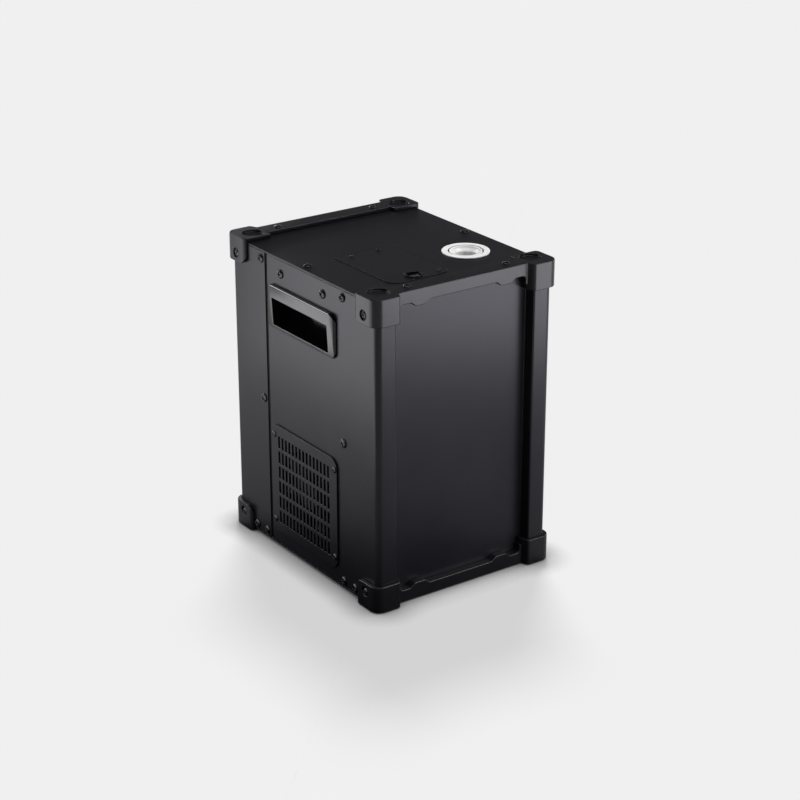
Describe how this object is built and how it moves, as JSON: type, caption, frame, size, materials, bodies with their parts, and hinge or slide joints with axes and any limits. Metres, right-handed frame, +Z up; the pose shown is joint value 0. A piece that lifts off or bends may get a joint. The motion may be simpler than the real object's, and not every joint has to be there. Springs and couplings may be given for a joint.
{
  "type": "cold spark machine",
  "caption": "Free-standing stage effect box in folded sheet metal with moulded corner caps, a spark nozzle and latched hopper lid on top, side vents, carry handles and a rear control panel.",
  "frame": {"origin": "middle of the footprint, on the floor under the feet", "axes": "+Z up, the front with the plain recessed panel faces -Y, the spark nozzle is on the +X side of the top"},
  "size_m": [0.208, 0.254, 0.31],
  "materials": {
    "powder_coat": "satin black fine-texture powder coat",
    "moulded_black": "satin black moulded plastic",
    "dark_gloss": "semi-gloss black plastic",
    "fan_black": "black glass-filled plastic",
    "white_enamel": "satin white heat-proof enamel",
    "steel": "bright zinc-plated steel",
    "aluminium": "satin aluminium",
    "copper": "bright copper tube",
    "brass": "machined brass",
    "ceramic": "matt white ceramic fibre",
    "rubber": "matt black rubber",
    "circuit_board": "green solder mask",
    "display_glass": "dark glossy display window"
  },
  "bodies": {
    "case": {"front_shell": "powder_coat", "rear_shell": "powder_coat", "top_plate": "powder_coat", "base_plate": "powder_coat", "bezel_front_top": "moulded_black", "bezel_rear_top": "moulded_black", "bezel_front_bottom": "moulded_black", "bezel_rear_bottom": "moulded_black", "foot_front_left": "rubber", "foot_front_right": "rubber", "foot_rear_left": "rubber", "foot_rear_right": "rubber", "handle_left": "dark_gloss", "handle_right": "dark_gloss", "vent_grille_left": "powder_coat", "vent_grille_right": "powder_coat", "fan_frame_left": "fan_black", "fan_frame_right": "fan_black", "nozzle_ring": "white_enamel", "nozzle_liner": "white_enamel", "heater_tube": "steel", "insulation_sleeve": "ceramic", "induction_coil": "copper", "heat_shield": "steel", "shelf": "steel", "blower_housing": "fan_black", "blower_motor": "steel", "duct_collar": "rubber", "hopper_bin": "aluminium", "hopper_gasket": "rubber", "auger_housing": "aluminium", "feed_motor": "steel", "hinge_pin": "steel", "hinge_bracket_right": "steel", "hinge_bracket_left": "steel", "power_supply": "aluminium", "driver_heat_sink": "aluminium", "control_panel": "dark_gloss", "display_window": "display_glass", "control_board": "circuit_board", "signal_outlet": "dark_gloss", "signal_inlet": "dark_gloss", "mains_outlet": "dark_gloss", "mains_inlet": "dark_gloss", "switch_frame": "dark_gloss", "fuse_holder": "dark_gloss"},
    "lid": {"lid": "powder_coat", "latch_cup": "steel"},
    "latch": {"latch_knob": "dark_gloss"},
    "auger": {"auger": "steel", "auger_gear": "brass"},
    "pinion": {"motor_pinion": "brass"},
    "fan_left": {"fan_rotor_left": "fan_black"},
    "fan_right": {"fan_rotor_right": "fan_black"},
    "blower": {"blower_wheel": "fan_black"},
    "button_1": {"button_1": "rubber"},
    "button_2": {"button_2": "rubber"},
    "button_3": {"button_3": "rubber"},
    "button_4": {"button_4": "rubber"},
    "rocker": {"power_rocker": "dark_gloss"}
  },
  "joints": [
    {"name": "lid_hinge", "type": "hinge", "parent": "case", "child": "lid", "pos_m": [-0.024, -0.0041, 0.3019], "axis": [-1, 0, 0], "range_deg": [0, 105]},
    {"name": "latch_turn", "type": "hinge", "parent": "lid", "child": "latch", "pos_m": [-0.026, -0.0768, 0.303], "axis": [0, 0, 1], "range_deg": [0, 90]},
    {"name": "auger_spin", "type": "hinge", "parent": "case", "child": "auger", "pos_m": [-0.02, -0.049, 0.163], "axis": [1, 0, 0], "continuous": true},
    {"name": "pinion_spin", "type": "hinge", "parent": "case", "child": "pinion", "pos_m": [-0.066, -0.049, 0.18575], "axis": [1, 0, 0], "continuous": true},
    {"name": "fan_left_spin", "type": "hinge", "parent": "case", "child": "fan_left", "pos_m": [-0.091, -0.0012, 0.0764], "axis": [1, 0, 0], "continuous": true},
    {"name": "fan_right_spin", "type": "hinge", "parent": "case", "child": "fan_right", "pos_m": [0.091, -0.0012, 0.0764], "axis": [1, 0, 0], "continuous": true},
    {"name": "blower_spin", "type": "hinge", "parent": "case", "child": "blower", "pos_m": [0.0543, -0.0205, 0.092], "axis": [1, 0, 0], "continuous": true},
    {"name": "button_1_press", "type": "slide", "parent": "case", "child": "button_1", "axis": [0, -1, 0], "range_m": [0, 0.0015], "stiffness_N_per_m": 400, "springref_m": -0.0005},
    {"name": "button_2_press", "type": "slide", "parent": "case", "child": "button_2", "axis": [0, -1, 0], "range_m": [0, 0.0015], "stiffness_N_per_m": 400, "springref_m": -0.0005},
    {"name": "button_3_press", "type": "slide", "parent": "case", "child": "button_3", "axis": [0, -1, 0], "range_m": [0, 0.0015], "stiffness_N_per_m": 400, "springref_m": -0.0005},
    {"name": "button_4_press", "type": "slide", "parent": "case", "child": "button_4", "axis": [0, -1, 0], "range_m": [0, 0.0015], "stiffness_N_per_m": 400, "springref_m": -0.0005},
    {"name": "power_switch", "type": "hinge", "parent": "case", "child": "rocker", "pos_m": [0, 0.1079, 0.104], "axis": [-1, 0, 0], "range_deg": [0, 20]}
  ],
  "couplings": [
    {"joint": "pinion_spin", "follows": "auger_spin", "ratio": -2}
  ]
}
